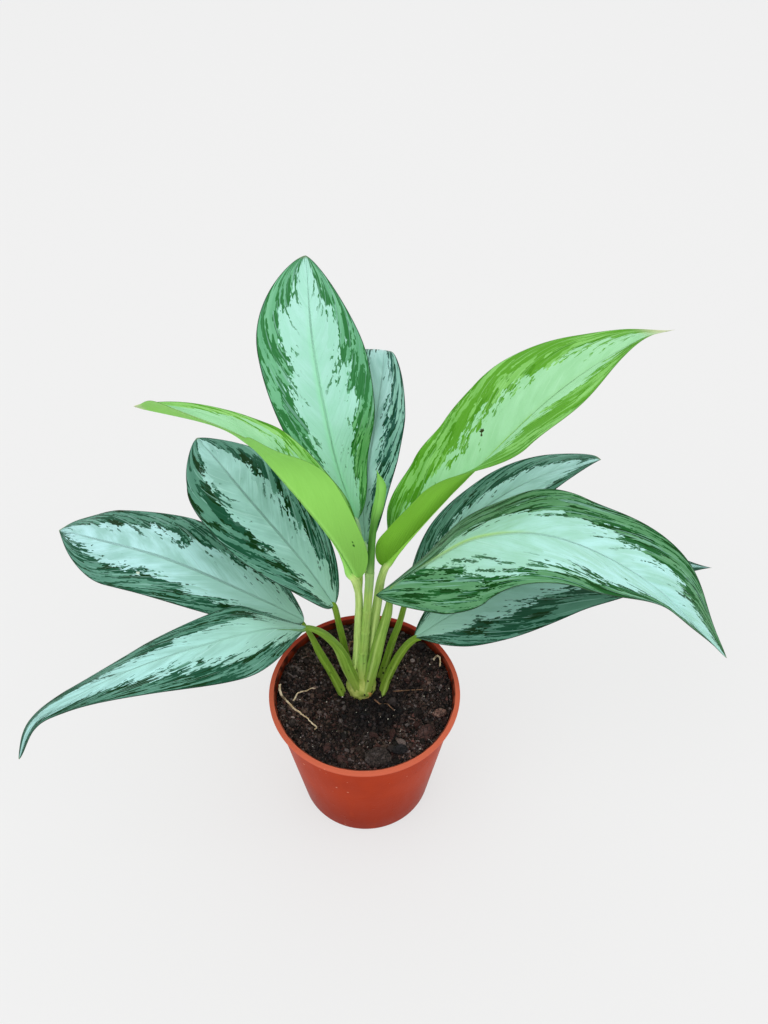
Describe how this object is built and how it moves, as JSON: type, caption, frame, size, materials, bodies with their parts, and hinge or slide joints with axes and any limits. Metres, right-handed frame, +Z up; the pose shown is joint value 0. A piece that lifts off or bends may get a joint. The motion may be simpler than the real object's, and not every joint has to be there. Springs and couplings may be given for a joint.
{
  "type": "potted chinese evergreen",
  "caption": "Potted chinese evergreen with broad silver and green leaves in a round terracotta-coloured plastic nursery pot.",
  "frame": {"origin": "centre of the pot's underside, on the surface it stands on", "axes": "+Z up along the pot's axis, -Y towards the front of the plant, +X to the right seen from the front"},
  "size_m": [0.4264, 0.1897, 0.3474],
  "materials": {
    "pot_plastic": "satin",
    "potting_mix": "matte",
    "crown": "satin",
    "stalk": "satin",
    "leaf": "satin",
    "young_leaf": "satin",
    "bark": "matte",
    "root": "matte"
  },
  "bodies": {
    "root": {"pot": "pot_plastic", "potting_mix": "potting_mix", "crown": "crown", "central_stem": "stalk", "furled_leaf": "young_leaf", "stalk_top": "stalk", "blade_top": "leaf", "stalk_top_back": "stalk", "blade_top_back": "leaf", "stalk_right_young": "stalk", "blade_right_young": "young_leaf", "stalk_left_young": "stalk", "blade_left_young": "young_leaf", "stalk_left_back": "stalk", "blade_left_back": "leaf", "stalk_left_middle": "stalk", "blade_left_middle": "leaf", "stalk_left_low": "stalk", "blade_left_low": "leaf", "stalk_right_back": "stalk", "blade_right_back": "leaf", "stalk_right_front": "stalk", "blade_right_front": "leaf", "stalk_right_low": "stalk", "blade_right_low": "leaf", "bark_chip_1": "bark", "bark_chip_2": "bark", "bark_chip_3": "bark", "bark_chip_4": "bark", "bark_chip_5": "bark", "bark_chip_6": "bark", "bark_chip_7": "bark", "root_left": "root", "root_left_fork": "root", "root_right": "root", "root_middle": "root", "root_back": "root", "twig": "root"}
  },
  "joints": []
}
